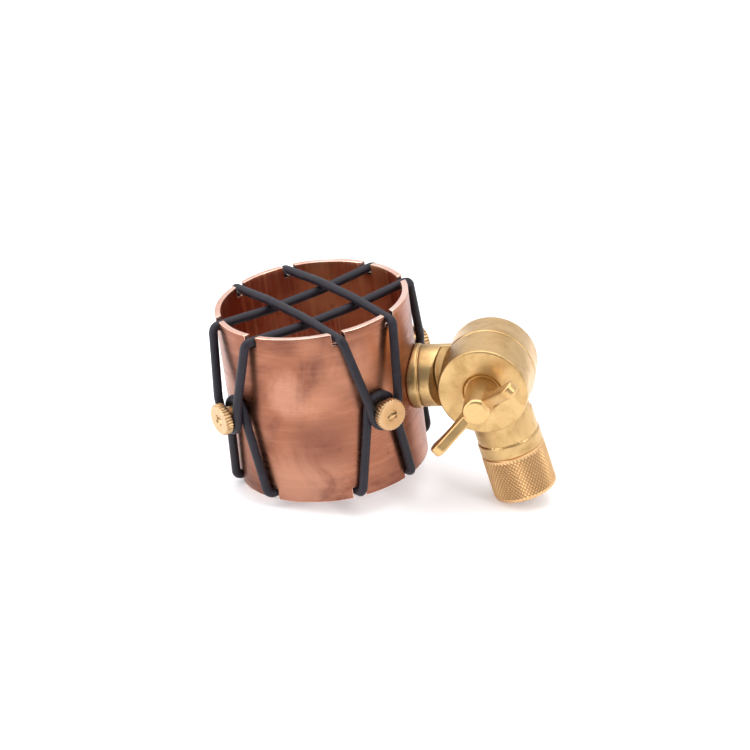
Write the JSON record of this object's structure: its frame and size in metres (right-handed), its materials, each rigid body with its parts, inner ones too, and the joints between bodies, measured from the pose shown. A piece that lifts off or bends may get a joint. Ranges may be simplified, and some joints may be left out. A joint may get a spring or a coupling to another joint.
{
  "type": "microphone shock mount",
  "caption": "Copper-tube elastic microphone cradle: crossed rubber bands at both ends hold the mic; brass swivel with wing screw and knurled threaded stand coupler.",
  "frame": {"origin": "centre of the copper tube, on its axis at mid length", "axes": "+Z along the tube's axis, which is the microphone's axis, towards the upper rim; +X from the tube towards the swivel's pivot; the wing screw faces -Y"},
  "size_m": [0.1115, 0.0712, 0.0781],
  "materials": {
    "copper_shell": "satin, fine brushed, aged copper",
    "rubber_band": "matte",
    "post_brass": "satin",
    "nut_brass": "satin face, straight knurl",
    "swivel_brass": "satin cast brass",
    "wing_brass": "polished, golden",
    "coupler_brass": "diamond knurl",
    "steel": "zinc plated",
    "fibre_washer": "matte fibre"
  },
  "bodies": {
    "cradle": {"shell": "copper_shell", "upper_band_a": "rubber_band", "upper_band_b": "rubber_band", "lower_band_a": "rubber_band", "lower_band_b": "rubber_band", "post_sleeve_1": "post_brass", "post_sleeve_2": "post_brass", "post_sleeve_3": "post_brass", "post_sleeve_4": "post_brass", "post_screw_1": "post_brass", "post_screw_2": "post_brass", "post_screw_3": "post_brass", "post_screw_4": "post_brass", "neck_screw": "steel", "neck_washer": "steel", "swivel_rear": "swivel_brass", "friction_washer": "fibre_washer"},
    "stand_arm": {"swivel_front": "swivel_brass"},
    "wing": {"wing_screw": "wing_brass"},
    "coupler": {"stand_coupler": "coupler_brass"},
    "nut_1": {"thumb_nut_1": "nut_brass"},
    "nut_2": {"thumb_nut_2": "nut_brass"},
    "nut_3": {"thumb_nut_3": "nut_brass"},
    "nut_4": {"thumb_nut_4": "nut_brass"}
  },
  "joints": [
    {"name": "stand_swivel", "type": "hinge", "parent": "cradle", "child": "stand_arm", "pos_m": [0.05815, 0, 0], "axis": [0, -1, 0], "range_deg": [-14, 172]},
    {"name": "wing_screw_turn", "type": "hinge", "parent": "cradle", "child": "wing", "pos_m": [0.05815, 0, 0], "axis": [0, -1, 0], "range_deg": [0, 720]},
    {"name": "coupler_turn", "type": "hinge", "parent": "stand_arm", "child": "coupler", "pos_m": [0.06382, 0, -0.02946], "axis": [0.1891, 0, -0.982], "continuous": true},
    {"name": "nut_turn_1", "type": "hinge", "parent": "cradle", "child": "nut_1", "pos_m": [0.02906, 0.02906, 0], "axis": [0.7071, 0.7071, 0], "range_deg": [0, 1080]},
    {"name": "nut_turn_2", "type": "hinge", "parent": "cradle", "child": "nut_2", "pos_m": [-0.02906, 0.02906, 0], "axis": [-0.7071, 0.7071, 0], "range_deg": [0, 1080]},
    {"name": "nut_turn_3", "type": "hinge", "parent": "cradle", "child": "nut_3", "pos_m": [-0.02906, -0.02906, 0], "axis": [-0.7071, -0.7071, 0], "range_deg": [0, 1080]},
    {"name": "nut_turn_4", "type": "hinge", "parent": "cradle", "child": "nut_4", "pos_m": [0.02906, -0.02906, 0], "axis": [0.7071, -0.7071, 0], "range_deg": [0, 1080]}
  ]
}
